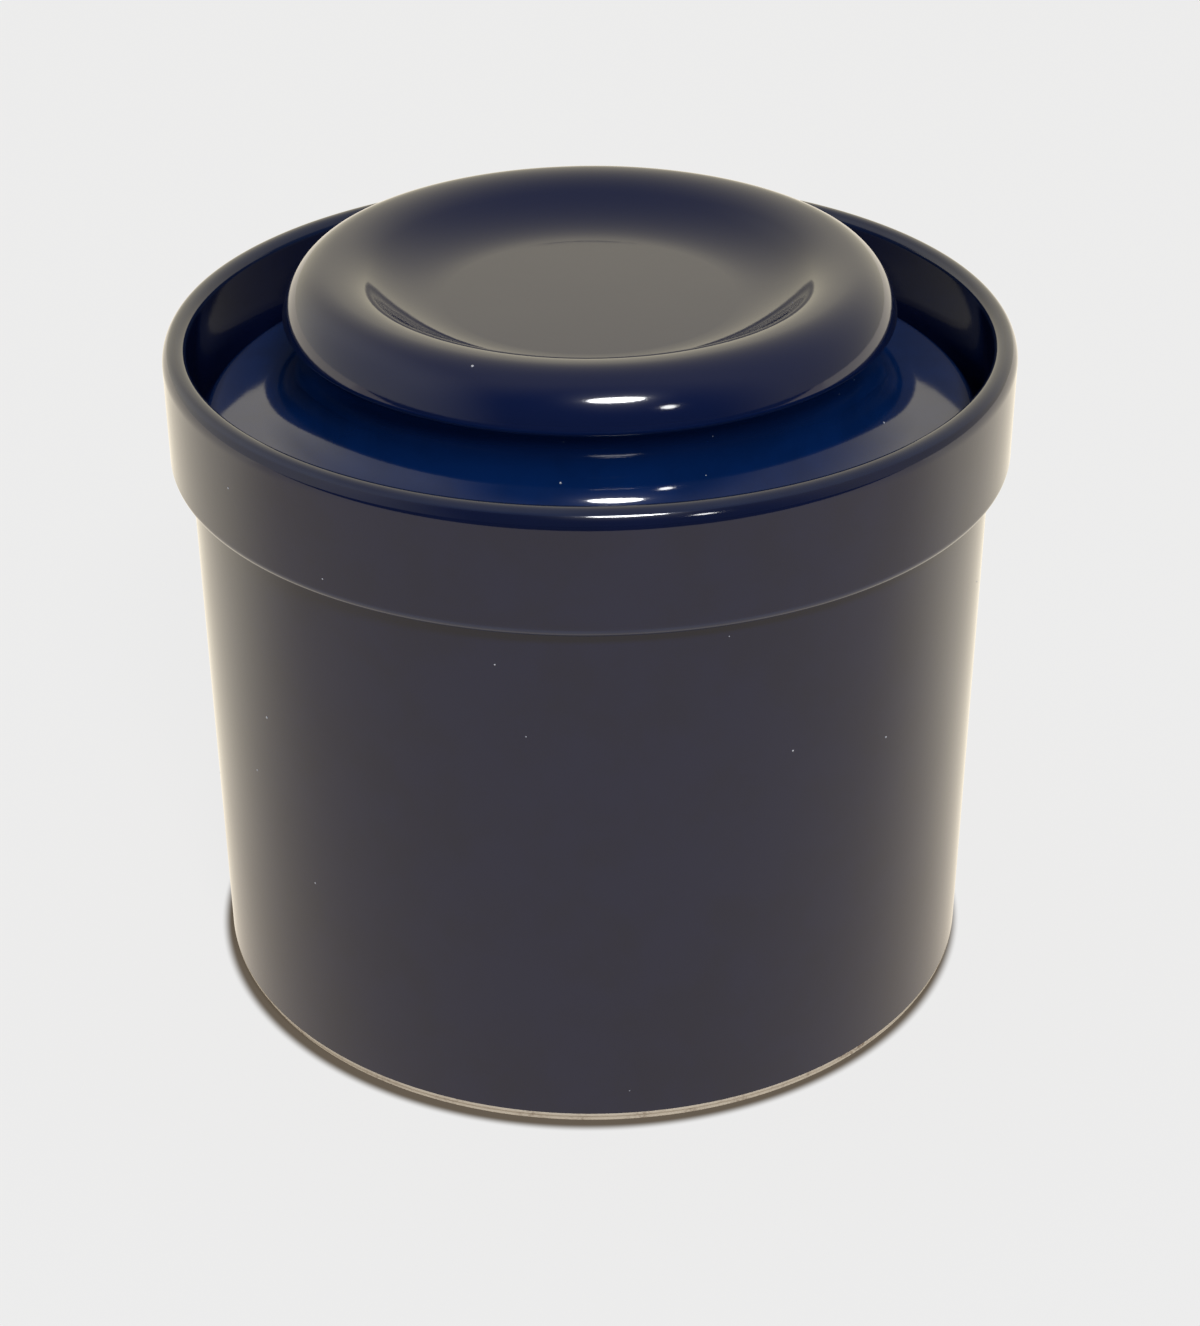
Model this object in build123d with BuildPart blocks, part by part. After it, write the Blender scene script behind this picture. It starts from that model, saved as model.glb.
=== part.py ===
from build123d import *
import os

# Water-sealed butter crock: a glazed pot, and a lid that carries an upside-down butter cup.
# Millimetres. +Z is up and is the axis of revolution; the origin is the centre of the foot plane.

# ---- driving dimensions: pot ----
RIM_RADIUS = 54.0  # outside of the collar
RIM_HEIGHT = 88.0  # top of the lip
COLLAR_HEIGHT = 15.9  # from the collar's underside to the top of the lip
BODY_TOP_RADIUS = 51.5  # wall just under the collar
BODY_FOOT_RADIUS = 51.05  # wall at the foot: a slight draft
LIP_THICKNESS = 3.0
LIP_DROP = 1.35  # the lip's outer shoulder below its top
LIP_LEAN = 0.95  # from the collar's outside in to the lip's top
LIP_SHOULDER_ROUND = 2.8
LIP_OUTER_ROUND = 1.4
LIP_INNER_ROUND = 1.3
COLLAR_EDGE_ROUND = 1.2  # lower outer edge of the collar
COLLAR_COVE = 0.9  # inner corner between collar and wall
LEDGE_HEIGHT = 74.4  # seat of the lid
LEDGE_WALL_RADIUS = 50.6  # inside of the collar at the seat
LEDGE_COVE = 1.3
LEDGE_EDGE_ROUND = 1.2
WELL_TOP_RADIUS = 46.3
WELL_FLOOR_RADIUS = 45.8
WELL_FLOOR_HEIGHT = 6.0
WELL_FLOOR_ROUND = 6.0
FOOT_EDGE_ROUND = 1.0
FOOT_INNER_RADIUS = 45.2
FOOT_INNER_ROUND = 0.5
FOOT_RECESS_DEPTH = 1.5
FOOT_RECESS_ROUND = 0.6

# ---- driving dimensions: lid cap ----
FLANGE_RADIUS = 49.6
FLANGE_THICKNESS = 4.0
FLANGE_TOP_ROUND = 2.0
FLANGE_UNDER_ROUND = 1.2
GRIP_TOP = 96.7  # crown of the grip
CROWN_RADIUS = 32.95
SHOULDER_WIDTH = 6.0  # half axes of the ellipse from the crown down the grip's outside
SHOULDER_HEIGHT = 8.2
SHOULDER_CUT = 16.0  # where that ellipse gives way to the lower edge, degrees
UNDERCUT_SLOPE = 52.0  # how far the grip turns in under itself, degrees
UNDERCUT_ROUND = 0.8  # lower edge of the grip
BROW_WIDTH = 7.0  # half axes of the ellipse from the crown down into the dish
BROW_HEIGHT = 5.4
BROW_TURN = 47.4  # how far round that ellipse goes, degrees
DISH_DEPTH = 5.0
CAP_WALL = 4.0
HOLLOW_RADIUS = 32.0
HOLLOW_SHOULDER_ROUND = 2.5
HOLLOW_FLAT_RADIUS = 20.5  # flat ceiling under the dish's floor
HOLLOW_BOWL_ROUND = 8.0

# ---- driving dimensions: butter bell ----
BELL_MOUTH_HEIGHT = 24.0
BELL_MOUTH_RADIUS = 37.2
BELL_TOP_RADIUS = 36.8
BELL_WALL = 3.8
BELL_LIP_ROUND = 1.8
BELL_CEILING_THICKNESS = 4.0
BELL_CEILING_ROUND = 5.0
LUTING_RADIUS = 39.5  # flared bead that joins the bell to the flange
LUTING_HEIGHT = 1.4
LUTING_COVE = 2.0
LUTING_ROUND = 0.6
VENT_RADIUS = 1.25  # lets the air out of the hollow grip in the kiln

# ---- derived heights ----
COLLAR_UNDERSIDE = RIM_HEIGHT - COLLAR_HEIGHT
FLANGE_TOP = LEDGE_HEIGHT + FLANGE_THICKNESS
BELL_CEILING = LEDGE_HEIGHT - BELL_CEILING_THICKNESS

os.makedirs("parts", exist_ok=True)

# ---- crock_pot: one casting of foot ring, floor, wall, ledge for the lid and thick collar ----
POT_CORNERS = [
    # ((radius, height), rounding)
    ((0, FOOT_RECESS_DEPTH), 0),
    ((FOOT_INNER_RADIUS, FOOT_RECESS_DEPTH), FOOT_RECESS_ROUND),
    ((FOOT_INNER_RADIUS, 0), FOOT_INNER_ROUND),
    ((BODY_FOOT_RADIUS, 0), FOOT_EDGE_ROUND),
    ((BODY_TOP_RADIUS, COLLAR_UNDERSIDE), COLLAR_COVE),
    ((RIM_RADIUS, COLLAR_UNDERSIDE), COLLAR_EDGE_ROUND),
    ((RIM_RADIUS, RIM_HEIGHT - LIP_DROP), LIP_SHOULDER_ROUND),
    ((RIM_RADIUS - LIP_LEAN, RIM_HEIGHT), LIP_OUTER_ROUND),
    ((RIM_RADIUS - LIP_THICKNESS, RIM_HEIGHT), LIP_INNER_ROUND),
    ((LEDGE_WALL_RADIUS, LEDGE_HEIGHT), LEDGE_COVE),
    ((WELL_TOP_RADIUS, LEDGE_HEIGHT), LEDGE_EDGE_ROUND),
    ((WELL_FLOOR_RADIUS, WELL_FLOOR_HEIGHT), WELL_FLOOR_ROUND),
    ((0, WELL_FLOOR_HEIGHT), 0),
]
with BuildPart() as crock_pot:
    with BuildSketch(Plane.XZ):
        with BuildLine():
            FilletPolyline(*[point for point, _ in POT_CORNERS], radius=[r for _, r in POT_CORNERS], close=True)
        make_face()
    revolve(axis=Axis.Z)

crock_pot.part.label = "crock_pot"
export_step(crock_pot.part, "parts/crock_pot.step")

# ---- lid_cap: flange, cove, hollow grip and dished top, open below until the bell closes it ----
DISH_FLOOR = GRIP_TOP - DISH_DEPTH
CAP_CEILING = DISH_FLOOR - CAP_WALL
UNDERCUT_REACH = Vector(1, 0).rotate(Axis.Z, UNDERCUT_SLOPE)
HOLLOW_CORNERS = [
    # ((radius, height), rounding), from the flange's opening up and in to the axis
    ((HOLLOW_RADIUS, LEDGE_HEIGHT), 0),
    ((HOLLOW_RADIUS, GRIP_TOP - CAP_WALL), HOLLOW_SHOULDER_ROUND),
    ((HOLLOW_FLAT_RADIUS, CAP_CEILING), HOLLOW_BOWL_ROUND),
    ((0, CAP_CEILING), 0),
]
with BuildPart() as lid_cap:
    with BuildSketch(Plane.XZ):
        with BuildLine():
            shoulder_centre = (CROWN_RADIUS, GRIP_TOP - SHOULDER_HEIGHT)
            shoulder = EllipticalCenterArc(
                shoulder_centre, SHOULDER_WIDTH, SHOULDER_HEIGHT, start_angle=SHOULDER_CUT, arc_size=90 - SHOULDER_CUT
            )
            side_lean = Vector(0, 1).get_angle(shoulder % 0)
            undercut = JernArc(shoulder @ 0, -(shoulder % 0), UNDERCUT_ROUND, -(side_lean + UNDERCUT_SLOPE))
            cove_round = ((undercut @ 1).Y - FLANGE_TOP) / (1 + UNDERCUT_REACH.Y)
            cove = JernArc(undercut @ 1, undercut % 1, cove_round, 90 + UNDERCUT_SLOPE)
            brow_centre = (CROWN_RADIUS, GRIP_TOP - BROW_HEIGHT)
            brow = EllipticalCenterArc(brow_centre, BROW_WIDTH, BROW_HEIGHT, start_angle=90, arc_size=BROW_TURN)
            dish_slope = Vector(-1, 0).get_angle(brow % 1)
            bowl_reach = Vector(1, 0).rotate(Axis.Z, dish_slope)
            bowl_round = ((brow @ 1).Y - DISH_FLOOR) / (1 - bowl_reach.X)
            bowl = JernArc(brow @ 1, brow % 1, bowl_round, -dish_slope)
            Line(bowl @ 1, (0, DISH_FLOOR))
            FilletPolyline(
                cove @ 1,
                (FLANGE_RADIUS, FLANGE_TOP),
                (FLANGE_RADIUS, LEDGE_HEIGHT),
                (HOLLOW_RADIUS, LEDGE_HEIGHT),
                radius=[FLANGE_TOP_ROUND, FLANGE_UNDER_ROUND],
            )
            FilletPolyline(*[point for point, _ in HOLLOW_CORNERS], radius=[r for _, r in HOLLOW_CORNERS[1:-1]])
            Line((0, CAP_CEILING), (0, DISH_FLOOR))
        make_face()
    revolve(axis=Axis.Z)

lid_cap.part.label = "lid_cap"
export_step(lid_cap.part, "parts/lid_cap.step")

# ---- butter_bell: the butter cup, mouth down, luted to the flange; it closes the grip but for a vent ----
INNER_MOUTH_RADIUS = BELL_MOUTH_RADIUS - BELL_WALL
INNER_TOP_RADIUS = BELL_TOP_RADIUS - BELL_WALL
LUTING_UNDERSIDE = LEDGE_HEIGHT - LUTING_HEIGHT
BELL_CORNERS = [
    # ((radius, height), rounding)
    ((0, LEDGE_HEIGHT), 0),
    ((0, BELL_CEILING), 0),
    ((INNER_TOP_RADIUS, BELL_CEILING), BELL_CEILING_ROUND),
    ((INNER_MOUTH_RADIUS, BELL_MOUTH_HEIGHT), BELL_LIP_ROUND),
    ((BELL_MOUTH_RADIUS, BELL_MOUTH_HEIGHT), BELL_LIP_ROUND),
    ((BELL_TOP_RADIUS, LUTING_UNDERSIDE), LUTING_COVE),
    ((LUTING_RADIUS, LUTING_UNDERSIDE), LUTING_ROUND),
    ((LUTING_RADIUS, LEDGE_HEIGHT), 0),
]
with BuildPart() as butter_bell:
    with BuildSketch(Plane.XZ):
        with BuildLine():
            FilletPolyline(*[point for point, _ in BELL_CORNERS], radius=[r for _, r in BELL_CORNERS], close=True)
        make_face()
    revolve(axis=Axis.Z)
    with BuildSketch(Plane.XY.offset(BELL_CEILING)):
        Circle(VENT_RADIUS)
    extrude(amount=BELL_CEILING_THICKNESS, mode=Mode.SUBTRACT)

butter_bell.part.label = "butter_bell"
export_step(butter_bell.part, "parts/butter_bell.step")
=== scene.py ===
"""Water-sealed butter crock, turned and dressed.

A glazed stoneware pot with a thick collar, and a lid that carries an upside-down butter cup in the pot's
water well. Every piece is turned round +Z from its own outline. Metres; the foot stands on the plane z = 0.
"""

import logging
import math
from dataclasses import dataclass, field
from enum import Enum
import bpy
from mathutils import Matrix, Vector


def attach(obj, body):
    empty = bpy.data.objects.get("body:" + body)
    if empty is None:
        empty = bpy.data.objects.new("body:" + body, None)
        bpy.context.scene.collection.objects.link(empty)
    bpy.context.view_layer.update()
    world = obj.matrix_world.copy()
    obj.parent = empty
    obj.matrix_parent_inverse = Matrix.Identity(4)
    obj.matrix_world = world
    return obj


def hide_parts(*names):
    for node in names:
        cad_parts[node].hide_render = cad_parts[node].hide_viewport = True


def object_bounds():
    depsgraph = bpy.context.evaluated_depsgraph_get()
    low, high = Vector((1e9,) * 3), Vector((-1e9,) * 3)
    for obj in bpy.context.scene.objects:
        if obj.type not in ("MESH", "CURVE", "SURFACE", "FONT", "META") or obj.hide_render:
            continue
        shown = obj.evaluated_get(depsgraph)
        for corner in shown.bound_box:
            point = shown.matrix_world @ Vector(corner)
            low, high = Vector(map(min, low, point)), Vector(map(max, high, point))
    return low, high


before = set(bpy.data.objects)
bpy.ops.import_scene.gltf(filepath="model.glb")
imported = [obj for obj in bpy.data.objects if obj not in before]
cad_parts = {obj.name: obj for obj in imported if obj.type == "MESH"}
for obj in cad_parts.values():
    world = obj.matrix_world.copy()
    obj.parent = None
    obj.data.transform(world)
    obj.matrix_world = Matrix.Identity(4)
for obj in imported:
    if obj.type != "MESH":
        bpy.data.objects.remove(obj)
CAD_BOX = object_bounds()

LOG = logging.getLogger("butter_crock")
MM = 0.001
SAME = 1e-4  # millimetres, or radians: less than this is nothing
THIN = "glaze_thin"  # the attribute that says how thin the glaze lies
CLAY = "bare_clay"  # the attribute that says where the clay is bare
Colour = tuple[float, float, float]
Stretch = tuple[float, float]
Socket, NodeTree, Material = bpy.types.NodeSocket, bpy.types.NodeTree, bpy.types.Material


class Body(Enum):
    """The two bodies that move apart."""

    CROCK = "crock"
    LID = "lid"


class Skin(Enum):
    """What covers a stretch of an outline."""

    GLAZE = 0
    CLAY = 1


# ---- node trees


@dataclass
class Graph:
    """A node tree while it is being wired.

    Args:
        tree: the tree that the nodes are added to.
    """

    tree: NodeTree

    def add(self, kind: str, inputs: dict | None = None, **settings: object) -> bpy.types.Node:
        """Adds one node, sets its options, and fills or links its inputs.

        Args:
            kind: the node's type name.
            inputs: a value or a source socket for each input, by its name or number.
            settings: the node's own options.

        Returns:
            The node.
        """
        node = self.tree.nodes.new(kind)
        for name, value in settings.items():
            setattr(node, name, value)
        for key, value in (inputs or {}).items():
            if isinstance(value, Socket):
                self.tree.links.new(value, node.inputs[key])
            else:
                node.inputs[key].default_value = value
        return node

    def math(self, operation: str, *values: object) -> Socket:
        """The result of one Math node, from its operation and its inputs in order, numbers or sockets."""
        return self.add("ShaderNodeMath", dict(enumerate(values)), operation=operation).outputs[0]

    def vector(self, operation: str, *values: object) -> bpy.types.Node:
        """One Vector Math node, whose outputs are named Vector and Value."""
        return self.add("ShaderNodeVectorMath", dict(enumerate(values)), operation=operation)

    def ramp(self, value: Socket, start: float, end: float, low: float = 0.0, high: float = 1.0) -> Socket:
        """A smooth step from low to high as a value goes from start to end."""
        inputs = {"Value": value, "From Min": start, "From Max": end, "To Min": low, "To Max": high}
        return self.add("ShaderNodeMapRange", inputs, interpolation_type="SMOOTHSTEP").outputs[0]

    def blend(self, factor: Socket, low: object, high: object) -> Socket:
        """Mixes two colours.

        Args:
            factor: 0 for the first colour, 1 for the second.
            low: the first colour.
            high: the second colour.

        Returns:
            The colour socket.
        """
        inputs = {0: factor}
        for key, value in ((6, low), (7, high)):
            inputs[key] = value if isinstance(value, Socket) else (*value, 1.0)
        return self.add("ShaderNodeMix", inputs, data_type="RGBA").outputs[2]


def baked(name: str, mesh: bpy.types.Mesh, tree: NodeTree, values: dict[str, object]) -> bpy.types.Object:
    """Runs a tree on a mesh and keeps the result as a new piece's plain mesh.

    Args:
        name: the piece's name.
        mesh: what the tree starts from.
        tree: the Geometry Nodes tree.
        values: what each named input is set to.

    Returns:
        The piece, at the origin, with no modifier left on it.
    """
    piece = bpy.data.objects.new(name, mesh)
    bpy.context.scene.collection.objects.link(piece)
    modifier = piece.modifiers.new(tree.name, "NODES")
    modifier.node_group = tree
    for item in tree.interface.items_tree:
        if item.name in values:
            modifier[item.identifier] = values[item.name]
    depsgraph = bpy.context.evaluated_depsgraph_get()
    depsgraph.update()
    result = bpy.data.meshes.new_from_object(piece.evaluated_get(depsgraph), depsgraph=depsgraph)
    result.name = name
    piece.modifiers.remove(modifier)
    piece.data = result
    return piece


# ---- finishes


def new_material(name: str) -> tuple[Graph, Material]:
    """A new material with nothing in its node tree.

    Args:
        name: the material's name.

    Returns:
        The graph to wire, and the material.
    """
    material = bpy.data.materials.new(name)
    material.use_nodes = True
    material.node_tree.nodes.clear()
    return Graph(material.node_tree), material


@dataclass(frozen=True)
class CobaltGlaze:
    """A deep, glossy cobalt glaze that breaks paler where it runs thin over an edge.

    Args:
        name: the material's name.
        deep: its colour where it lies thick.
        pooled: its colour where it lies thickest, in the mottle.
        thin: its colour over a sharp edge.
        roughness: how blurred its reflections are.
        mottle: the size of the cloudy patches, in metres.
        ripple: the size of the faint unevenness of its surface, in metres.
        ripple_depth: how deep that unevenness is, in metres.
        crest: its colour high up, darker and greyer: painted shade on the top of the grip; None keeps one colour.
        crest_change: the heights between which it changes to that, in metres.
        pooling: the values of the mottle between which deep changes to pooled.
        ragged: how much of the thin colour is left where the mottle breaks it up most.
        breaking: the values of the mottle between which it comes back in full.
        sheen: the least and the most roughness, against the usual one.
        sheen_change: the values of the mottle between which one changes to the other.
        ior: its index of refraction.
    """

    name: str
    deep: Colour = (0.0030, 0.0110, 0.0600)
    pooled: Colour = (0.0018, 0.0075, 0.0440)
    thin: Colour = (0.020, 0.034, 0.090)
    roughness: float = 0.075
    mottle: float = 9 * MM
    ripple: float = 1.6 * MM
    ripple_depth: float = 0.004 * MM
    crest: Colour | None = None
    crest_change: Stretch = (84 * MM, 91 * MM)
    pooling: Stretch = (0.35, 0.7)
    ragged: float = 0.55
    breaking: Stretch = (0.25, 0.75)
    sheen: Stretch = (0.85, 1.2)
    sheen_change: Stretch = (0.3, 0.7)
    ior: float = 1.5

    def material(self) -> Material:
        """Makes the material.

        Returns:
            The material.
        """
        graph, material = new_material(self.name)
        place = graph.add("ShaderNodeTexCoord").outputs["Object"]
        inputs = {"Vector": place, "Scale": 1 / self.mottle, "Detail": 4.0, "Roughness": 0.6}
        cloud = graph.add("ShaderNodeTexNoise", inputs).outputs[0]
        inputs = {"Vector": place, "Scale": 1 / self.ripple, "Detail": 3.0, "Roughness": 0.5}
        grain = graph.add("ShaderNodeTexNoise", inputs).outputs[0]
        edge = graph.add("ShaderNodeAttribute", attribute_name=THIN).outputs["Fac"]
        ragged = graph.math("MULTIPLY", edge, graph.ramp(cloud, *self.breaking, self.ragged, 1.0))
        body = graph.blend(graph.ramp(cloud, *self.pooling), self.deep, self.pooled)
        # Painted shade: the colour turns darker and greyer high up, between the heights of crest_change.
        if self.crest:
            height = graph.add("ShaderNodeSeparateXYZ", {0: place}).outputs["Z"]
            body = graph.blend(graph.ramp(height, *self.crest_change), body, self.crest)
        colour = graph.blend(ragged, body, self.thin)
        smooth, dull = (self.roughness * share for share in self.sheen)
        sheen = graph.ramp(cloud, *self.sheen_change, smooth, dull)
        bump = graph.add("ShaderNodeBump", {"Height": grain, "Distance": self.ripple_depth, "Strength": 1.0})
        inputs = {"Base Color": colour, "Roughness": sheen, "Normal": bump.outputs[0], "IOR": self.ior}
        shader = graph.add("ShaderNodeBsdfPrincipled", inputs)
        graph.add("ShaderNodeOutputMaterial", {"Surface": shader.outputs[0]})
        return material


@dataclass(frozen=True)
class BareClay:
    """Fired stoneware where the glaze was wiped off.

    Args:
        name: the material's name.
        light: the clay's own colour.
        dark: the colour of its iron specks and handling marks.
        roughness: how matt it is.
        grog: the size of its grains, in metres.
        grain_depth: how deep its grain is, in metres.
        mark_scale: how fine the handling marks are, against the grain.
        marked: the values of their pattern between which they darken.
        specked: the same for the grain.
    """

    name: str
    light: Colour = (0.41, 0.375, 0.32)
    dark: Colour = (0.15, 0.11, 0.08)
    roughness: float = 0.85
    grog: float = 0.5 * MM
    grain_depth: float = 0.04 * MM
    mark_scale: float = 0.12
    marked: Stretch = (0.4, 0.7)
    specked: Stretch = (0.4, 0.65)

    def material(self) -> Material:
        """Makes the material.

        Returns:
            The material.
        """
        graph, material = new_material(self.name)
        place = graph.add("ShaderNodeTexCoord").outputs["Object"]
        inputs = {"Vector": place, "Scale": 1 / self.grog, "Detail": 5.0, "Roughness": 0.65}
        grain = graph.add("ShaderNodeTexNoise", inputs).outputs[0]
        inputs = {"Vector": place, "Scale": self.mark_scale / self.grog, "Detail": 3.0}
        stain = graph.add("ShaderNodeTexNoise", inputs).outputs[0]
        dirt = graph.math("MULTIPLY", graph.ramp(stain, *self.marked), graph.ramp(grain, *self.specked))
        bump = graph.add("ShaderNodeBump", {"Height": grain, "Distance": self.grain_depth, "Strength": 1.0})
        colour = graph.blend(dirt, self.light, self.dark)
        inputs = {"Base Color": colour, "Roughness": self.roughness, "Normal": bump.outputs[0]}
        shader = graph.add("ShaderNodeBsdfPrincipled", inputs)
        graph.add("ShaderNodeOutputMaterial", {"Surface": shader.outputs[0]})
        return material


# ---- outlines


@dataclass
class Outline:
    """The outline that a piece is turned from, as radius and height in millimetres.

    It runs with the solid on its left: out from the axis underneath, up the outside, and back in.

    Args:
        points: where it has reached so far.
        skins: what covers the stretch that ends at each point.
        arc_step: the turn between two points of a round, in degrees.
        run_step: the longest gap between two points of a straight run.
        guard: how near to a run's ends it gets an extra point, so that its shading stays flat.
    """

    points: list[Vector] = field(default_factory=list)
    skins: list[Skin] = field(default_factory=list)
    arc_step: float = 4.5
    run_step: float = 2.6
    guard: float = 0.22

    def put(self, radius: float, height: float, skin: Skin = Skin.GLAZE) -> None:
        """Adds one point unless the outline is already there.

        Args:
            radius: its distance from the axis.
            height: its height.
            skin: what covers the stretch up to it.
        """
        point = Vector((radius, height))
        if not self.points or (self.points[-1] - point).length > SAME:
            self.points.append(point)
            self.skins.append(skin)

    def run(self, radius: float, height: float, skin: Skin = Skin.GLAZE) -> None:
        """Adds a straight run to a point, with points along it.

        Args:
            radius: the far end's distance from the axis.
            height: the far end's height.
            skin: what covers it.
        """
        start, end = self.points[-1].copy(), Vector((radius, height))
        length = (end - start).length
        if length < SAME:
            return
        inner = []
        if length > 3 * self.guard:
            count = max(1, math.ceil((length - 2 * self.guard) / self.run_step))
            inner = [self.guard + (length - 2 * self.guard) * i / count for i in range(count + 1)]
        for distance in [*inner, length]:
            self.put(*start.lerp(end, distance / length), skin)

    def sweep(self, centre: tuple[float, float], radii: tuple[float, float], start: float, turn: float,
              skin: Skin = Skin.GLAZE) -> None:
        """Adds an arc of a circle or an upright ellipse.

        Args:
            centre: its centre.
            radii: its half width and half height.
            start: the angle it starts at, in degrees from the outward radius.
            turn: how far it turns, anticlockwise if positive.
            skin: what covers it.
        """
        count = max(2, math.ceil(abs(turn) / self.arc_step))
        for i in range(count + 1):
            angle = math.radians(start + turn * i / count)
            self.put(centre[0] + radii[0] * math.cos(angle), centre[1] + radii[1] * math.sin(angle), skin)

    def corners(self, rows: list[tuple[float, float, float]], skin: Skin = Skin.GLAZE) -> None:
        """Adds runs through corners, each rounded to its own radius.

        Args:
            rows: radius, height and rounding of each corner; the first is reached by a run, the last is not rounded.
            skin: what covers them.
        """
        path = [self.points[-1].copy()] + [Vector(row[:2]) for row in rows]
        for i, row in enumerate(rows[:-1], start=1):
            before, corner, after = path[i - 1], path[i], path[i + 1]
            rounding = row[2]
            inward, outward = (corner - before).normalized(), (after - corner).normalized()
            turn = -inward.angle_signed(outward)
            if rounding <= 0 or abs(turn) < SAME:
                self.run(*corner, skin)
                continue
            reach = rounding * math.tan(abs(turn) / 2)
            self.run(*(corner - inward * reach), skin)
            side = 1 if turn > 0 else -1
            centre = self.points[-1] + Vector((-inward.y, inward.x)) * rounding * side
            arm = self.points[-1] - centre
            start = math.degrees(math.atan2(arm.y, arm.x))
            self.sweep(tuple(centre), (rounding, rounding), start, math.degrees(turn), skin)
        self.run(rows[-1][0], rows[-1][1], skin)

    def thinness(self, soft: float = 0.28, sharp: float = 0.85) -> list[float]:
        """How thin the glaze lies at each point, from how sharply the outline turns outwards there.

        Args:
            soft: the curvature, per millimetre, below which it lies thick.
            sharp: the curvature above which it is thinnest.

        Returns:
            A number from 0 to 1 for each point.
        """
        bends = [0.0] * len(self.points)
        for i in range(1, len(self.points) - 1):
            before, after = self.points[i] - self.points[i - 1], self.points[i + 1] - self.points[i]
            turn = -before.angle_signed(after)
            bends[i] = turn / max(0.5 * (before.length + after.length), 1e-6)
        raw = [min(1.0, max(0.0, (bend - soft) / (sharp - soft))) for bend in bends]
        return [(raw[max(i - 1, 0)] + 2 * raw[i] + raw[min(i + 1, len(raw) - 1)]) / 4 for i in range(len(raw))]

    def mesh(self, name: str) -> bpy.types.Mesh:
        """The outline as a chain of vertices, in metres, that carries its skin.

        Args:
            name: the mesh's name.

        Returns:
            The mesh.
        """
        mesh = bpy.data.meshes.new(name)
        count = len(self.points)
        mesh.from_pydata([(p.x * MM, 0, p.y * MM) for p in self.points], [(i, i + 1) for i in range(count - 1)], [])
        for title, values in ((THIN, self.thinness()), (CLAY, [float(skin.value) for skin in self.skins])):
            mesh.attributes.new(title, "FLOAT", "POINT").data.foreach_set("value", values)
        return mesh


# ---- turning


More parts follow.
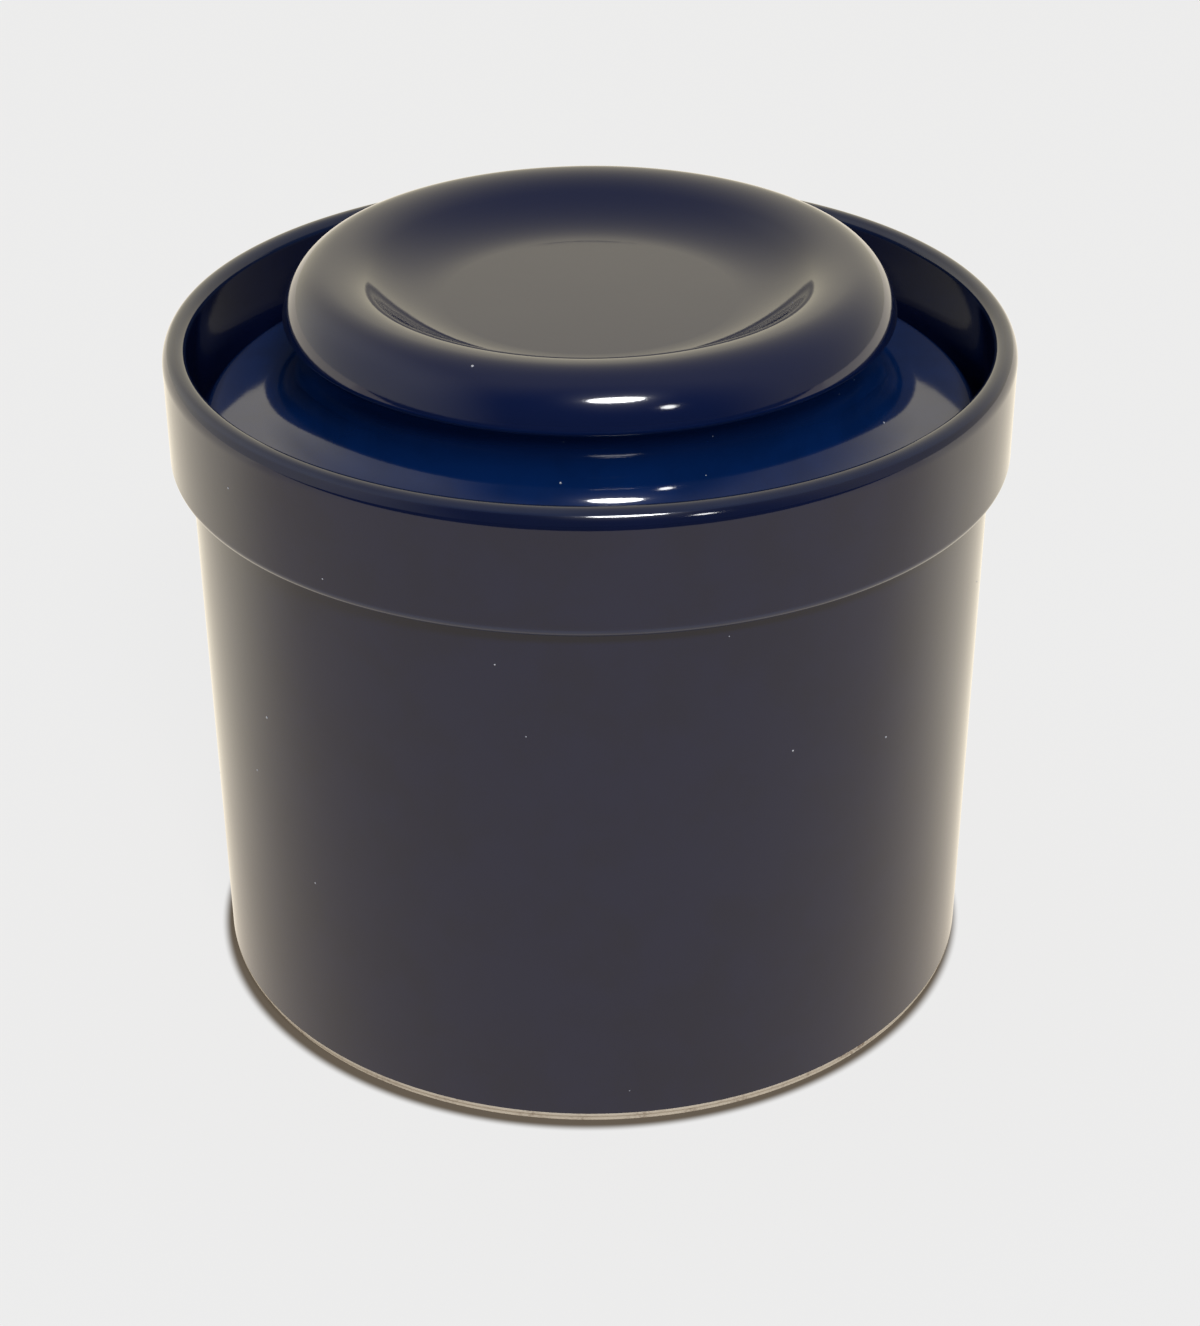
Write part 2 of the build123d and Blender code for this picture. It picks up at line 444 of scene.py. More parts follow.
@dataclass
class Lathe:
    """Turns outlines round +Z with one Geometry Nodes tree.

    Args:
        segments: how many steps go round.
        waviness: how far the glazed surface wanders from true, in metres.
        wave_size: how long one wave of that is, in metres.
        waking: the heights between which it sets in, so that the foot stays flat.
        weld: how close two points are before they become one, in metres.
        clay_share: how much of a face is bare clay before the whole face is.
    """

    segments: int = 240
    waviness: float = 0.05 * MM
    wave_size: float = 16 * MM
    waking: Stretch = (1.5 * MM, 6 * MM)
    weld: float = 2e-7
    clay_share: float = 0.6

    def __post_init__(self) -> None:
        """Builds the tree once."""
        self.tree = self._tree()

    def _tree(self) -> NodeTree:
        """Builds the tree that turns an outline into a closed skin.

        Returns:
            The tree.
        """
        tree = bpy.data.node_groups.new("turn_outline", "GeometryNodeTree")
        for name, kind in (
            ("Outline", "Geometry"), ("Segments", "Int"), ("Waviness", "Float"), ("Wave Size", "Float"),
            ("Seed", "Float"), ("Glaze", "Material"), ("Clay", "Material"),
        ):
            tree.interface.new_socket(name, in_out="INPUT", socket_type="NodeSocket" + kind)
        tree.interface.new_socket("Piece", in_out="OUTPUT", socket_type="NodeSocketGeometry")
        graph = Graph(tree)
        given = graph.add("NodeGroupInput").outputs
        count = graph.add("GeometryNodeAttributeDomainSize", {0: given["Outline"]}).outputs["Point Count"]
        columns = graph.math("ADD", given["Segments"], 1)
        sheet = graph.add("GeometryNodeMeshGrid", {"Vertices X": columns, "Vertices Y": count}).outputs["Mesh"]
        index = graph.add("GeometryNodeInputIndex").outputs[0]
        column = graph.math("FLOOR", graph.math("DIVIDE", graph.math("ADD", index, 0.5), count))
        row = graph.math("SUBTRACT", index, graph.math("MULTIPLY", column, count))
        angle = graph.math("MULTIPLY", graph.math("DIVIDE", column, given["Segments"]), math.tau)

        def carried(value: Socket, kind: str) -> Socket:
            """A value read from the outline's point of the same row."""
            inputs = {"Geometry": given["Outline"], "Value": value, "Index": row}
            return graph.add("GeometryNodeSampleIndex", inputs, data_type=kind, domain="POINT").outputs[0]

        here = graph.add("GeometryNodeInputPosition").outputs[0]
        place = graph.add("ShaderNodeSeparateXYZ", {0: carried(here, "FLOAT_VECTOR")})
        radius, height = place.outputs["X"], place.outputs["Z"]
        turned = graph.add(
            "ShaderNodeCombineXYZ",
            {"X": graph.math("MULTIPLY", radius, graph.math("COSINE", angle)),
             "Y": graph.math("MULTIPLY", radius, graph.math("SINE", angle)), "Z": height},
        ).outputs[0]
        skin = sheet
        for title in (THIN, CLAY):
            read = graph.add("GeometryNodeInputNamedAttribute", {"Name": title}, data_type="FLOAT").outputs[0]
            inputs = {"Geometry": skin, "Name": title, "Value": carried(read, "FLOAT")}
            skin = graph.add("GeometryNodeStoreNamedAttribute", inputs, data_type="FLOAT", domain="POINT").outputs[0]
        skin = graph.add("GeometryNodeSetPosition", {"Geometry": skin, "Position": turned}).outputs[0]
        skin = graph.add("GeometryNodeMergeByDistance", {"Geometry": skin, "Distance": self.weld}).outputs[0]

        scale = graph.math("DIVIDE", 1.0, given["Wave Size"])
        inputs = {"Vector": here, "W": given["Seed"], "Scale": scale, "Detail": 1.0}
        noise = graph.add("ShaderNodeTexNoise", inputs, noise_dimensions="4D").outputs[0]
        level = graph.add("ShaderNodeSeparateXYZ", {0: here}).outputs["Z"]
        glazed = graph.ramp(level, *self.waking)
        wander = graph.math("MULTIPLY", graph.math("SUBTRACT", noise, 0.5), given["Waviness"])
        depth = graph.math("MULTIPLY", wander, glazed)
        normal = graph.add("GeometryNodeInputNormal").outputs[0]
        offset = graph.add("ShaderNodeVectorMath", {0: normal, "Scale": depth}, operation="SCALE").outputs[0]
        skin = graph.add("GeometryNodeSetPosition", {"Geometry": skin, "Offset": offset}).outputs[0]
        skin = graph.add("GeometryNodeSetShadeSmooth", {"Geometry": skin, "Shade Smooth": True}).outputs[0]

        skin = graph.add("GeometryNodeRealizeInstances", {"Geometry": skin}).outputs[0]
        skin = graph.add("GeometryNodeSetMaterial", {"Geometry": skin, "Material": given["Glaze"]}).outputs[0]
        bare = graph.add("GeometryNodeInputNamedAttribute", {"Name": CLAY}, data_type="FLOAT").outputs[0]
        chosen = graph.math("GREATER_THAN", bare, self.clay_share)
        inputs = {"Geometry": skin, "Selection": chosen, "Material": given["Clay"]}
        skin = graph.add("GeometryNodeSetMaterial", inputs).outputs[0]
        graph.add("NodeGroupOutput", {0: skin})
        return tree

    def turn(self, name: str, outline: Outline, seed: float, glaze: Material,
             clay: Material) -> bpy.types.Object:
        """Turns one piece.

        Args:
            name: the piece's name.
            outline: what it is turned from.
            seed: where its unevenness is taken from.
            glaze: the glaze's material.
            clay: the bare clay's material.

        Returns:
            The piece, as a plain mesh at the origin.
        """
        values = {
            "Segments": self.segments, "Waviness": self.waviness, "Wave Size": self.wave_size, "Seed": seed,
            "Glaze": glaze, "Clay": clay,
        }
        return baked(name, outline.mesh(name), self.tree, values)


def mount(piece: bpy.types.Object, body: Body, node: str | None = None) -> None:
    """Hangs a finished piece on its body, and hides the CAD node that it stands for.

    Args:
        piece: the finished piece.
        body: the body that it moves with.
        node: the CAD node that it stands for; None for mere dressing.
    """
    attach(piece, body.value)
    if node:
        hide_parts(node)
    role = f"stands for {node}" if node else "dresses it"
    LOG.info("%s: %d faces, rides on %s, %s", piece.name, len(piece.data.polygons), body.value, role)


# ---- specks in the glaze


@dataclass
class Specks:
    """Tiny glaze pimples scattered over the outside of a turned piece by one Geometry Nodes tree.

    Args:
        density: how many there are on each square metre.
        size: their usual half width, in metres.
        flatness: their height against their width.
        smallest: the smallest speck against the usual one.
        largest: the largest.
        facing: how far out the skin must face, as its distance from the axis times its outward lean.
        sides: how many sides a speck has.
        rings: how many rings of faces it has.
    """

    density: float = 700.0
    size: float = 0.13 * MM
    flatness: float = 0.5
    smallest: float = 0.5
    largest: float = 1.4
    facing: float = 10 * MM
    sides: int = 8
    rings: int = 5

    def __post_init__(self) -> None:
        """Builds the tree and the finish once."""
        self.tree = self._tree()
        # Real glaze pimples, coloured pale so that they show as the lamps' bright glints in them: painted highlight.
        pale = CobaltGlaze("speck_glaze_painted_glint", deep=(0.34, 0.36, 0.42), pooled=(0.22, 0.24, 0.30))
        self.finish = pale.material()

    def _tree(self) -> NodeTree:
        """Builds the tree that puts a low dome at random points of the skin it is given.

        Returns:
            The tree.
        """
        tree = bpy.data.node_groups.new("scatter_specks", "GeometryNodeTree")
        for name, kind in (
            ("Skin", "Geometry"), ("Density", "Float"), ("Size", "Float"), ("Flatness", "Float"), ("Lowest", "Float"),
            ("Seed", "Int"), ("Finish", "Material"),
        ):
            tree.interface.new_socket(name, in_out="INPUT", socket_type="NodeSocket" + kind)
        tree.interface.new_socket("Piece", in_out="OUTPUT", socket_type="NodeSocketGeometry")
        graph = Graph(tree)
        given = graph.add("NodeGroupInput").outputs
        here = graph.add("GeometryNodeInputPosition").outputs[0]
        normal = graph.add("GeometryNodeInputNormal").outputs[0]
        place = graph.add("ShaderNodeSeparateXYZ", {0: here})
        radial = graph.add("ShaderNodeCombineXYZ", {"X": place.outputs["X"], "Y": place.outputs["Y"]}).outputs[0]
        outward = graph.vector("DOT_PRODUCT", normal, radial).outputs["Value"]
        outside = graph.math("GREATER_THAN", outward, self.facing)
        above = graph.math("GREATER_THAN", place.outputs["Z"], given["Lowest"])
        inputs = {
            "Mesh": given["Skin"], "Selection": graph.math("MULTIPLY", outside, above), "Density": given["Density"],
            "Seed": given["Seed"],
        }
        points = graph.add("GeometryNodeDistributePointsOnFaces", inputs, distribute_method="RANDOM").outputs
        inputs = {"Segments": self.sides, "Rings": self.rings, "Radius": given["Size"]}
        dome = graph.add("GeometryNodeMeshUVSphere", inputs).outputs["Mesh"]
        inputs = {"X": 1.0, "Y": 1.0, "Z": given["Flatness"]}
        squash = graph.add("ShaderNodeCombineXYZ", inputs).outputs[0]
        dome = graph.add("GeometryNodeTransform", {"Geometry": dome, "Scale": squash}).outputs[0]
        number = graph.add("GeometryNodeInputIndex").outputs[0]
        inputs = {2: self.smallest, 3: self.largest, "ID": number, "Seed": given["Seed"]}
        scale = graph.add("FunctionNodeRandomValue", inputs, data_type="FLOAT").outputs[1]
        inputs = {"Points": points["Points"], "Instance": dome, "Rotation": points["Rotation"], "Scale": scale}
        specks = graph.add("GeometryNodeInstanceOnPoints", inputs).outputs[0]
        specks = graph.add("GeometryNodeRealizeInstances", {"Geometry": specks}).outputs[0]
        specks = graph.add("GeometryNodeSetShadeSmooth", {"Geometry": specks, "Shade Smooth": True}).outputs[0]
        specks = graph.add("GeometryNodeSetMaterial", {"Geometry": specks, "Material": given["Finish"]}).outputs[0]
        graph.add("NodeGroupOutput", {0: specks})
        return tree

    def scatter(self, name: str, skin: bpy.types.Object, lowest: float, seed: int) -> bpy.types.Object:
        """Scatters specks over one piece.

        Args:
            name: the new piece's name.
            skin: the turned piece that they sit on.
            lowest: the height that they start at, in metres.
            seed: where their places are taken from.

        Returns:
            The specks, as one plain mesh at the origin.
        """
        values = {
            "Density": self.density, "Size": self.size, "Flatness": self.flatness, "Lowest": lowest, "Seed": seed,
            "Finish": self.finish,
        }
        return baked(name, skin.data, self.tree, values)


# ---- the pot


@dataclass
class Pot:
    """The crock: foot ring, straight wall, thick collar, and inside it the lid's seat and the water well.

    All sizes are in millimetres. A round is the radius of a convex edge, a cove that of a hollow one. The foot
    ring is bare clay: inside it from foot_glaze_stop down, and outside it, where it stands clay_inset behind the
    wall, up to the step at glaze_edge_height and for bare_edge beyond.
    """

    rim_radius: float = 54.0
    rim_height: float = 88.0
    collar_height: float = 15.9
    wall_top_radius: float = 51.5
    wall_foot_radius: float = 51.05
    lip: float = 3.0
    lip_drop: float = 1.35
    lip_lean: float = 0.95
    lip_shoulder_round: float = 2.8
    lip_outer_round: float = 1.4
    lip_inner_round: float = 1.3
    collar_edge_round: float = 1.2
    collar_cove: float = 0.9
    seat_height: float = 74.4
    seat_wall_radius: float = 50.6
    seat_cove: float = 1.3
    seat_edge_round: float = 1.2
    well_top_radius: float = 46.3
    well_floor_radius: float = 45.8
    well_floor_height: float = 6.0
    well_floor_round: float = 6.0
    foot_inner_radius: float = 45.2
    foot_inner_round: float = 0.5
    foot_glaze_stop: float = 0.7
    foot_recess: float = 1.5
    foot_recess_round: float = 0.6
    glaze_edge_height: float = 0.95
    glaze_edge_round: float = 0.42
    bare_edge: float = 0.62
    clay_inset: float = 0.55
    clay_round: float = 0.3
    seed: float = 3.0
    lowest_speck: float = 6.0
    speck_seed: int = 4

    def outline(self) -> Outline:
        """The pot's outline.

        Returns:
            The outline.
        """
        line = Outline()
        clay_radius = self.wall_foot_radius - self.clay_inset
        underside = self.rim_height - self.collar_height
        line.put(0, self.foot_recess)
        line.corners([
            (self.foot_inner_radius, self.foot_recess, self.foot_recess_round),
            (self.foot_inner_radius, self.foot_glaze_stop, 0),
        ])
        line.corners(
            [(self.foot_inner_radius, 0, self.foot_inner_round), (clay_radius, 0, self.clay_round),
             (clay_radius, self.glaze_edge_height, 0)],
            Skin.CLAY,
        )
        draft = (self.wall_top_radius - self.wall_foot_radius) / (underside - self.glaze_edge_height)
        line.corners(
            [(self.wall_foot_radius, self.glaze_edge_height, self.glaze_edge_round),
             (self.wall_foot_radius + draft * self.bare_edge, self.glaze_edge_height + self.bare_edge, 0)],
            Skin.CLAY,
        )
        line.corners([
            (self.wall_top_radius, underside, self.collar_cove),
            (self.rim_radius, underside, self.collar_edge_round),
            (self.rim_radius, self.rim_height - self.lip_drop, self.lip_shoulder_round),
            (self.rim_radius - self.lip_lean, self.rim_height, self.lip_outer_round),
            (self.rim_radius - self.lip, self.rim_height, self.lip_inner_round),
            (self.seat_wall_radius, self.seat_height, self.seat_cove),
            (self.well_top_radius, self.seat_height, self.seat_edge_round),
            (self.well_floor_radius, self.well_floor_height, self.well_floor_round),
            (0, self.well_floor_height, 0),
        ])
        return line

    def build(self, lathe: Lathe, specks: Specks, clay: Material) -> list[bpy.types.Object]:
        """Turns and dresses the pot.

        Args:
            lathe: what turns it.
            specks: what scatters the pimples in its glaze.
            clay: the bare clay's material.

        Returns:
            Its pieces.
        """
        # A darker copy of the cobalt glaze than the lid's: painted shade on the pot's wall and collar.
        glaze = CobaltGlaze(
            "pot_cobalt_glaze_painted_shade",
            deep=(0.0024, 0.0046, 0.0240),
            pooled=(0.0018, 0.0036, 0.0190),
            thin=(0.009, 0.016, 0.046),
        ).material()
        pot = lathe.turn("glazed_pot", self.outline(), self.seed, glaze, clay)
        mount(pot, Body.CROCK, "crock_pot")
        pimples = specks.scatter("pot_glaze_specks", pot, self.lowest_speck * MM, self.speck_seed)
        mount(pimples, Body.CROCK)
        return [pot, pimples]


# ---- the lid


@dataclass
class Cap:
    """The lid's cap: a flat flange, a cove, a broad rounded grip and a dished top, hollow underneath.

    All sizes are in millimetres. The grip's outside is part of an ellipse, the shoulder, that starts at its crown
    and stops at shoulder_cut degrees; a small round turns it in under itself by undercut_slope degrees, and the
    cove carries it down to the flange. Inside the crown a second ellipse, the brow, goes down into the dish.
    """

    seat_height: float = 74.4
    flange_radius: float = 49.6
    flange_thickness: float = 4.0
    flange_top_round: float = 2.0
    flange_under_round: float = 1.2
    flange_flat_end: float = 44.275
    crown_radius: float = 32.95
    grip_top: float = 96.7
    shoulder_width: float = 6.0
    shoulder_height: float = 8.2
    shoulder_cut: float = 16.0
    undercut_slope: float = 52.0
    undercut_round: float = 0.8
    brow_width: float = 7.0
    brow_height: float = 5.4
    dish_slope: float = 40.0
    dish_depth: float = 5.0
    wall: float = 4.0
    hollow_radius: float = 32.0
    hollow_shoulder_round: float = 2.5
    hollow_bowl_round: float = 8.0
    hollow_edge_round: float = 0.4
    seed: float = 11.0
    lowest_speck: float = 79.0
    speck_seed: int = 9

    def outline(self) -> Outline:
        """The cap's outline.

        Returns:
            The outline.
        """
        flange_top = self.seat_height + self.flange_thickness
        floor = self.grip_top - self.dish_depth
        ceiling = floor - self.wall
        line = Outline()
        line.put(0, ceiling)
        bowl, bowl_centre = self._bowl(floor)
        line.corners([
            (bowl_centre[0] + self.wall, ceiling, self.hollow_bowl_round),
            (self.hollow_radius, self.grip_top - self.wall, self.hollow_shoulder_round),
            (self.hollow_radius, self.seat_height, self.hollow_edge_round),
            (self.flange_radius, self.seat_height, self.flange_under_round),
            (self.flange_radius, flange_top, self.flange_top_round),
            (self.flange_flat_end, flange_top, 0),
        ])
        shoulder_centre = (self.crown_radius, self.grip_top - self.shoulder_height)
        cut, undercut = math.radians(self.shoulder_cut), math.radians(self.undercut_slope)
        lean = math.atan2(math.sin(cut) / self.shoulder_height, math.cos(cut) / self.shoulder_width)
        edge_centre = (
            shoulder_centre[0] + self.shoulder_width * math.cos(cut) - self.undercut_round * math.cos(lean),
            shoulder_centre[1] + self.shoulder_height * math.sin(cut) - self.undercut_round * math.sin(lean),
        )
        edge_height = edge_centre[1] - self.undercut_round * math.sin(undercut)
        cove = (edge_height - flange_top) / (1 + math.sin(undercut))
        cove_centre = (edge_centre[0] + (self.undercut_round + cove) * math.cos(undercut), flange_top + cove)
        line.sweep(cove_centre, (cove, cove), -90, -90 - self.undercut_slope)
        edge = (self.undercut_round, self.undercut_round)
        line.sweep(edge_centre, edge, -self.undercut_slope, self.undercut_slope + math.degrees(lean))
        shoulder = (self.shoulder_width, self.shoulder_height)
        line.sweep(shoulder_centre, shoulder, self.shoulder_cut, 90 - self.shoulder_cut)
        brow_centre = (self.crown_radius, self.grip_top - self.brow_height)
        line.sweep(brow_centre, (self.brow_width, self.brow_height), 90, self._brow_turn())
        line.sweep(bowl_centre, (bowl, bowl), self.dish_slope - 90, -self.dish_slope)
        line.run(0, floor)
        return line

    def _brow_turn(self) -> float:
        """How far round its ellipse the brow goes before it is as steep as the dish, in its own degrees."""
        lean = math.tan(math.radians(self.dish_slope)) * self.brow_width / self.brow_height
        return math.degrees(math.atan(lean))

    def _bowl(self, floor: float) -> tuple[float, tuple[float, float]]:
        """The round that carries the dish from the grip's inner brow down to its floor.

        Args:
            floor: the height of the dish's floor.

        Returns:
            Its radius, and its centre.
        """
        slope, turn = math.radians(self.dish_slope), math.radians(self._brow_turn())
        radius = self.crown_radius - self.brow_width * math.sin(turn)
        height = self.grip_top - self.brow_height * (1 - math.cos(turn))
        round_radius = (height - floor) / (1 - math.cos(slope))
        return round_radius, (radius - round_radius * math.sin(slope), floor + round_radius)


@dataclass
class Bell:
    """The butter cup under the lid: it hangs mouth down in the water well, and its mouth is bare clay.

    All sizes are in millimetres. The luting is the bead of clay that joins it to the flange, the vent lets the
    air out of the hollow grip in the kiln, and bare_lip is how high the glaze is wiped off the mouth.
    """

    seat_height: float = 74.4
    ceiling_thickness: float = 4.0
    ceiling_round: float = 5.0
    mouth_height: float = 24.0
    mouth_radius: float = 37.2
    top_radius: float = 36.8
    wall: float = 3.8
    lip_round: float = 1.8
    luting_radius: float = 39.5
    luting_height: float = 1.4
    luting_cove: float = 2.0
    luting_round: float = 0.6
    luting_top_round: float = 0.2
    vent_radius: float = 1.25
    vent_round: float = 0.3
    bare_lip: float = 0.55
    seed: float = 23.0

    def outline(self) -> Outline:
        """The bell's outline, closed round the vent.

        Returns:
            The outline.
        """
        ceiling = self.seat_height - self.ceiling_thickness
        under = self.seat_height - self.luting_height
        inner_top, inner_mouth = self.top_radius - self.wall, self.mouth_radius - self.wall
        reach = math.sqrt(self.lip_round**2 - (self.lip_round - self.bare_lip) ** 2)
        line = Outline()
        line.put(self.vent_radius, self.seat_height)
        line.corners([
            (self.vent_radius, ceiling, self.vent_round),
            (inner_top, ceiling, self.ceiling_round),
            (inner_mouth, self.mouth_height + self.lip_round, 0),
        ])
        bare = math.degrees(math.asin(reach / self.lip_round))
        inner, outer = inner_mouth + self.lip_round, self.mouth_radius - self.lip_round
        centre = self.mouth_height + self.lip_round
        lip = (self.lip_round, self.lip_round)
        line.sweep((inner, centre), lip, 180, 90 - bare)
        line.sweep((inner, centre), lip, 270 - bare, bare, Skin.CLAY)
        line.sweep((outer, centre), lip, 270, bare, Skin.CLAY)
        line.sweep((outer, centre), lip, 270 + bare, 90 - bare)
        line.corners([
            (self.top_radius, under, self.luting_cove),
            (self.luting_radius, under, self.luting_round),
            (self.luting_radius, self.seat_height, self.luting_top_round),
            (self.vent_radius, self.seat_height, 0),
        ])
        return line


@dataclass
class Lid:
    """The lid: the cap, and the butter cup luted under it.

    Args:
        cap: the part that shows.
        bell: the butter cup.
    """

    cap: Cap = field(default_factory=Cap)
    bell: Bell = field(default_factory=Bell)

    def build(self, lathe: Lathe, specks: Specks, clay: Material) -> list[bpy.types.Object]:
        """Turns and dresses the lid's two pieces.

        Args:
            lathe: what turns them.
            specks: what scatters the pimples in the cap's glaze.
            clay: the bare clay's material.

        Returns:
            Its pieces.
        """
        # A lighter, bluer copy of the cobalt glaze than the pot's: painted lamp light on the lid.
        cap_glaze_painted_light = CobaltGlaze(
            "lid_cobalt_glaze_painted_light",
            deep=(0.0014, 0.0130, 0.0700),
            pooled=(0.0011, 0.0105, 0.0560),
            thin=(0.0030, 0.0090, 0.0460),
            # Painted shade on the top of the grip.
            crest=(0.0022, 0.0060, 0.0330),
        ).material()
        bell_glaze = CobaltGlaze("bell_cobalt_glaze").material()
        cap = lathe.turn("glazed_lid_cap", self.cap.outline(), self.cap.seed, cap_glaze_painted_light, clay)
        bell = lathe.turn("glazed_butter_bell", self.bell.outline(), self.bell.seed, bell_glaze, clay)
        mount(cap, Body.LID, "lid_cap")
        mount(bell, Body.LID, "butter_bell")
        pimples = specks.scatter("lid_glaze_specks", cap, self.cap.lowest_speck * MM, self.cap.speck_seed)
        mount(pimples, Body.LID)
        return [cap, bell, pimples]


# ---- the studio


def aimed(azimuth: float, elevation: float) -> Vector:
    """The direction of a place: degrees round from the front (-Y) to the right (+X), and above the floor."""
    a, e = math.radians(azimuth), math.radians(elevation)
    return Vector((math.sin(a) * math.cos(e), -math.cos(a) * math.cos(e), math.sin(e)))


@dataclass(frozen=True)
class Lamp:
    """A soft oval lamp.

    Args:
        name: its name.
        azimuth: degrees round from the front, positive to the right.
        elevation: degrees above the floor.
        width: its width in degrees, as seen from the object.
        height: its height in degrees.
        radiance: how bright its face is, where a white wall in full light is 1.
        distance: how far it stands from the object, in metres.
    """

    name: str
    azimuth: float
    elevation: float
    width: float
    height: float
    radiance: float
    distance: float = 1.3

    def place(self, target: Vector) -> None:
        """Puts the lamp up, facing a point.

        Args:
            target: the point that it faces.
        """
        wide = 2 * self.distance * math.tan(math.radians(self.width / 2))
        high = 2 * self.distance * math.tan(math.radians(self.height / 2))
        data = bpy.data.lights.new(self.name, "AREA")
        data.shape, data.size, data.size_y = "ELLIPSE", wide, high
        data.energy = self.radiance * math.pi * (math.pi / 4 * wide * high)
        lamp = bpy.data.objects.new(self.name, data)
        bpy.context.scene.collection.objects.link(lamp)
        towards = aimed(self.azimuth, self.elevation)
        lamp.matrix_world = Matrix.Translation(target + towards * self.distance) @ (
            towards.to_track_quat("Z", "Y").to_matrix().to_4x4()
        )


@dataclass
class Studio:
    """A pale floor, soft walls of light and two small lamps; none of it is part of the object.

    Args:
        floor_radius: how far the floor reaches, in metres.
        backdrop: the colour behind the floor's far edge.
        floor_far: the floor's colour away from the object.
        floor_near: the floor's colour close to the object, a little warmer and darker: painted warm shade round the
            foot.
        floor_change: the radii between which one changes to the other, in metres.
        floor_shown: the light that the floor gives off where it is seen directly.
        floor_contact: the same in the painted soft shadow where the foot meets the floor.
        contact_centre: the middle of that shadow, in metres.
        contact_change: the radii between which it fades.
        floor_bounce: the light that it gives off to the object in front of it.
        floor_bounce_far: the light that it gives off beside and behind the object.
        bounce_change: where along Y one changes to the other, in metres.
        apron_start: where the black sheet starts in front of the object, in metres.
        apron_height: how high the black card lies there.
        matt: the roughness of the floor and the card.
        wall: the light of the bright wall behind the object.
        wall_start: how far in front of overhead its light begins, as the Y of a direction.
        wall_reach: how much further back, in the same measure, it is complete.
        wall_rise: the power that it rises by between them.
        haze: how much of the wall's light reaches round overhead to the front.
        haze_change: where that sets in, as the Y of a direction.
        side: how much light the left wall adds.
        side_change: where that sets in, as the leftward part of a direction.
        base: the light of everything else.
        glow: how bright the haze round the main lamp is.
        halo: how tight that haze is; more is tighter.
        main: the lamp whose light shows as the large highlight.
        small: the lamp beside it.
    """

    floor_radius: float = 4.0
    backdrop: Colour = (0.83, 0.83, 0.82)
    floor_far: Colour = (0.035, 0.035, 0.035)
    floor_near: Colour = (0.035, 0.032, 0.028)
    floor_change: Stretch = (0.055, 0.11)
    floor_shown: Colour = (0.80, 0.80, 0.803)
    floor_contact: Colour = (0.09, 0.07, 0.05)
    contact_centre: tuple[float, float, float] = (-0.0004, -0.0003, 0.0)
    contact_change: Stretch = (50.9 * MM, 52.4 * MM)
    floor_bounce: Colour = (0.90, 0.79, 0.66)
    floor_bounce_far: Colour = (1.27, 1.15, 0.94)
    bounce_change: Stretch = (-0.05, 0.045)
    apron_start: float = -0.275
    apron_height: float = 0.5 * MM
    matt: float = 0.9
    wall: Colour = (1.12, 1.02, 0.76)
    wall_start: float = 0.45
    wall_reach: float = 1.35
    wall_rise: float = 2.5
    haze: float = 0.34
    haze_change: Stretch = (-0.75, -0.2)
    side: float = 0.35
    side_change: Stretch = (0.45, 0.85)
    base: Colour = (0.05, 0.055, 0.07)
    glow: float = 0.8
    halo: float = 45.0
    main: Lamp = Lamp("main_lamp", azimuth=10.7, elevation=43.5, width=17.0, height=8.0, radiance=85.0)
    small: Lamp = Lamp("small_lamp", azimuth=29.0, elevation=26.0, width=5.0, height=5.0, radiance=26.0)

    def build(self, target: Vector) -> None:
        """Builds the floor, the light and the lamps.

        Args:
            target: the point that the lamps face.
        """
        self._floor()
        self._apron()
        self._light()
        for lamp in (self.main, self.small):
            lamp.place(target)

    def _floor(self) -> None:
        """A round pale floor that is seen from above and lets light through from below."""
        sides = 64
        turns = [math.tau * i / sides for i in range(sides)]
        rim = [(self.floor_radius * math.cos(turn), self.floor_radius * math.sin(turn), 0) for turn in turns]
        mesh = bpy.data.meshes.new("studio_floor")
        mesh.from_pydata(rim, [], [tuple(range(sides))])
        graph, material = new_material("pale_floor")
        place = graph.add("ShaderNodeTexCoord").outputs["Object"]
        reach = graph.vector("LENGTH", place).outputs["Value"]
        # Painted warm shade: the floor turns a little warmer and darker close to the object.
        base = graph.blend(graph.ramp(reach, *self.floor_change), self.floor_near, self.floor_far)
        seen = graph.add("ShaderNodeLightPath").outputs["Is Camera Ray"]
        ahead = graph.add("ShaderNodeSeparateXYZ", {0: place}).outputs["Y"]
        bounce = graph.blend(graph.ramp(ahead, *self.bounce_change), self.floor_bounce, self.floor_bounce_far)
        # Painted contact shadow: the light given off drops round the foot, off centre to the left and front.
        near = graph.vector("DISTANCE", place, self.contact_centre).outputs["Value"]
        lit = graph.ramp(near, *self.contact_change)
        shown = graph.blend(lit, self.floor_contact, self.floor_shown)
        given_off = graph.blend(seen, bounce, shown)
        inputs = {"Base Color": base, "Roughness": self.matt, "Specular IOR Level": 0.1}
        inputs |= {"Emission Color": given_off, "Emission Strength": 1.0}
        shader = graph.add("ShaderNodeBsdfPrincipled", inputs)
        below = graph.add("ShaderNodeNewGeometry").outputs["Backfacing"]
        clear = graph.add("ShaderNodeBsdfTransparent").outputs[0]
        mix = graph.add("ShaderNodeMixShader", {0: below, 1: shader.outputs[0], 2: clear})
        graph.add("ShaderNodeOutputMaterial", {"Surface": mix.outputs[0]})
        mesh.materials.append(material)
        floor = bpy.data.objects.new("studio_floor", mesh)
        bpy.context.scene.collection.objects.link(floor)

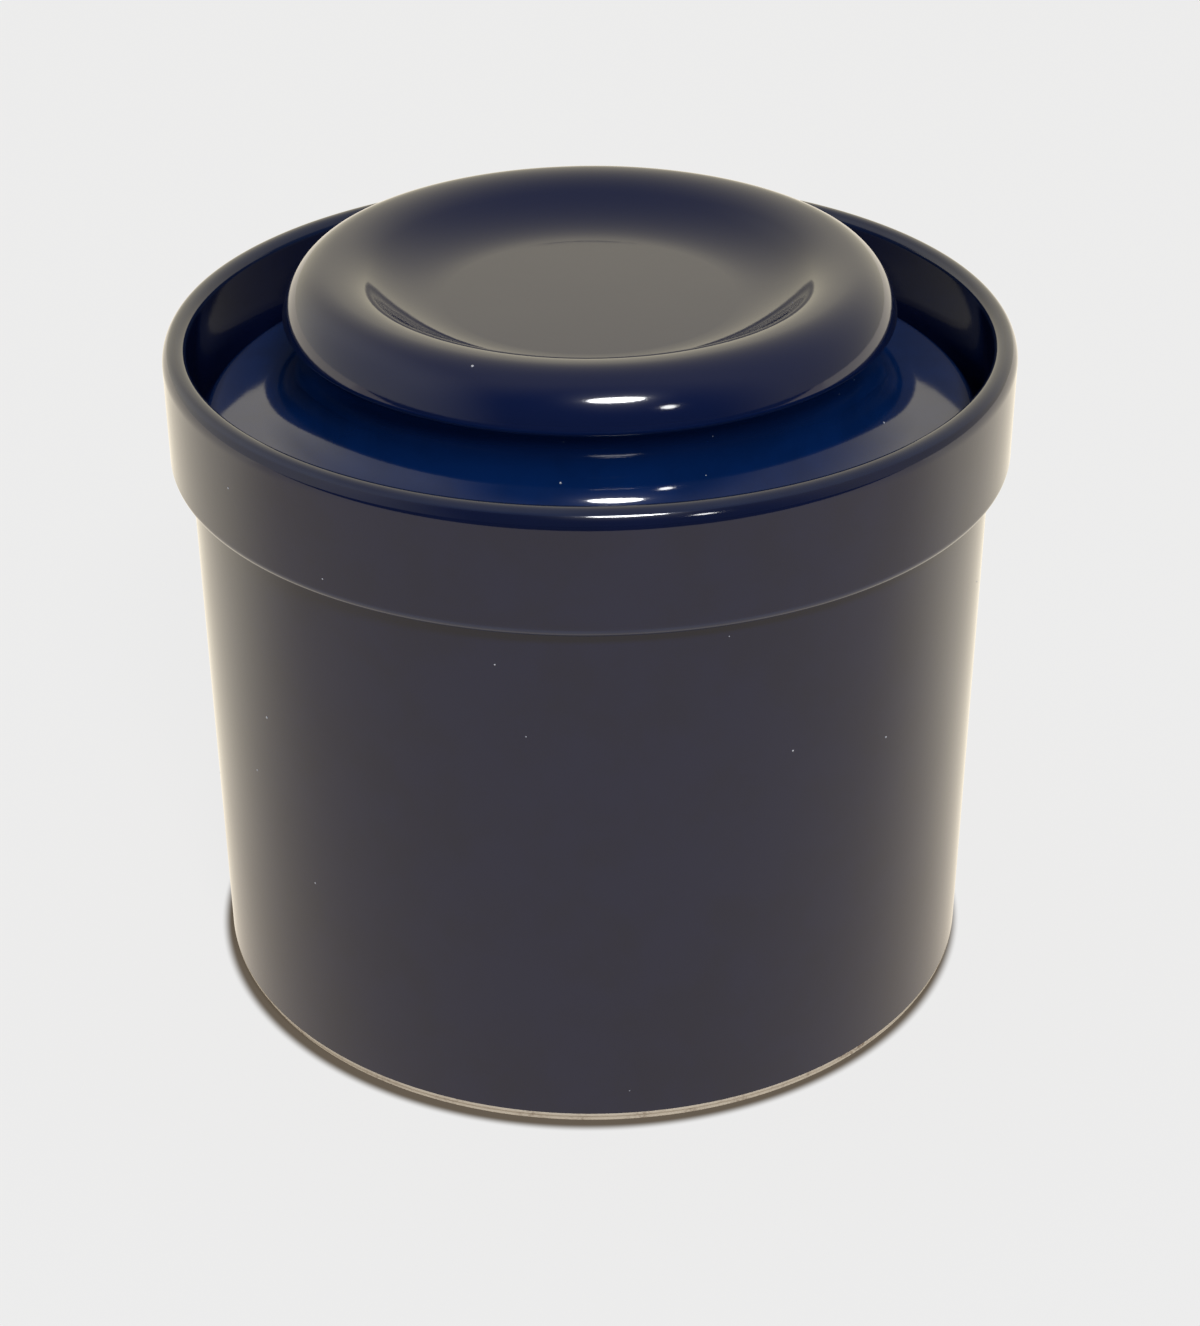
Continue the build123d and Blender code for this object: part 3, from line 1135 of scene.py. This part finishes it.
    def _apron(self) -> None:
        """A black sheet on the floor in front that only reflections show: a painted dark reflection of the dim room
        in front, in the glaze.
        """
        near, far, half = self.apron_start, -self.floor_radius, self.floor_radius
        mesh = bpy.data.meshes.new("studio_apron")
        corners = [(x, y, self.apron_height) for x, y in ((-half, far), (half, far), (half, near), (-half, near))]
        mesh.from_pydata(corners, [], [(0, 1, 2, 3)])
        graph, material = new_material("black_reflection_card")
        inputs = {"Base Color": (0.02, 0.02, 0.02, 1), "Roughness": self.matt, "Specular IOR Level": 0.0}
        shader = graph.add("ShaderNodeBsdfPrincipled", inputs)
        graph.add("ShaderNodeOutputMaterial", {"Surface": shader.outputs[0]})
        mesh.materials.append(material)
        card = bpy.data.objects.new("studio_apron", mesh)
        bpy.context.scene.collection.objects.link(card)
        # Seen only in glossy reflections: painted dark reflection.
        card.visible_camera = card.visible_diffuse = card.visible_shadow = card.visible_transmission = False

    def _light(self) -> None:
        """The light of the room by direction: bright behind, soft at the left, dim in front."""
        world = bpy.data.worlds.new("studio_light")
        bpy.context.scene.world = world
        world.use_nodes = True
        world.node_tree.nodes.clear()
        graph = Graph(world.node_tree)
        towards = graph.add("ShaderNodeTexCoord").outputs["Generated"]
        axes = graph.add("ShaderNodeSeparateXYZ", {0: towards})
        haze = graph.ramp(axes.outputs["Y"], *self.haze_change, 0.0, self.haze)
        behind = graph.math("DIVIDE", graph.math("ADD", axes.outputs["Y"], self.wall_start), self.wall_reach)
        behind = graph.math("POWER", graph.math("MAXIMUM", behind, 0.0), self.wall_rise)
        back = graph.math("MINIMUM", graph.math("ADD", graph.math("MULTIPLY", behind, 1 - self.haze), haze), 1.0)
        left = graph.ramp(graph.math("MULTIPLY", axes.outputs["X"], -1.0), *self.side_change)
        lamp = tuple(aimed(self.main.azimuth, self.main.elevation))
        facing = graph.vector("DOT_PRODUCT", towards, lamp).outputs["Value"]
        halo = graph.math("POWER", graph.math("MAXIMUM", facing, 0.0), self.halo)
        extra = graph.math("ADD", graph.math("MULTIPLY", left, self.side), graph.math("MULTIPLY", halo, self.glow))
        light = graph.blend(back, self.base, self.wall)
        grey = graph.add("ShaderNodeCombineXYZ", {"X": extra, "Y": extra, "Z": extra}).outputs[0]
        total = graph.vector("ADD", light, grey).outputs["Vector"]
        seen = graph.add("ShaderNodeLightPath").outputs["Is Camera Ray"]
        shown = graph.blend(seen, total, self.backdrop)
        lit = graph.add("ShaderNodeBackground", {"Color": shown, "Strength": 1.0})
        graph.add("ShaderNodeOutputWorld", {"Surface": lit.outputs[0]})


@dataclass
class Camera:
    """The camera, as a lens at a place that looks at a point.

    Args:
        place: where it stands, in metres.
        target: the point in the middle of its view.
        roll: how far it is turned about its own axis, in degrees.
        lens: its focal length in millimetres, for a 36 mm long side.
    """

    place: tuple[float, float, float] = (0.0011, -0.3209, 0.2230)
    target: tuple[float, float, float] = (0.0011, 0.0, 0.0380)
    roll: float = -0.23
    lens: float = 73.87

    def build(self) -> None:
        """Makes the camera and gives it to the scene."""
        data = bpy.data.cameras.new("camera")
        data.lens, data.sensor_width, data.sensor_fit = self.lens, 36.0, "AUTO"
        data.clip_start, data.clip_end = 0.01, 50.0
        camera = bpy.data.objects.new("camera", data)
        bpy.context.scene.collection.objects.link(camera)
        forward = (Vector(self.target) - Vector(self.place)).normalized()
        level = forward.cross(Vector((0, 0, 1))).normalized()
        roll = math.radians(self.roll)
        right = level * math.cos(roll) + level.cross(forward) * math.sin(roll)
        turn = Matrix((right, right.cross(forward), -forward)).transposed()
        camera.matrix_world = Matrix.Translation(Vector(self.place)) @ turn.to_4x4()
        bpy.context.scene.camera = camera


def main() -> None:
    """Builds the crock, the lid, the studio and the camera, in that order."""
    logging.basicConfig(level=logging.INFO, format="%(name)s: %(message)s")
    scene = bpy.context.scene
    scene.view_settings.view_transform = "Standard"
    lathe = Lathe()
    clay = BareClay("bare_stoneware").material()
    specks = Specks()
    pieces = Pot().build(lathe, specks, clay) + Lid().build(lathe, specks, clay)
    middle = (CAD_BOX[0] + CAD_BOX[1]) / 2
    Studio().build(middle)
    Camera().build()
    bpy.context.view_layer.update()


if __name__ == "__main__":
    main()
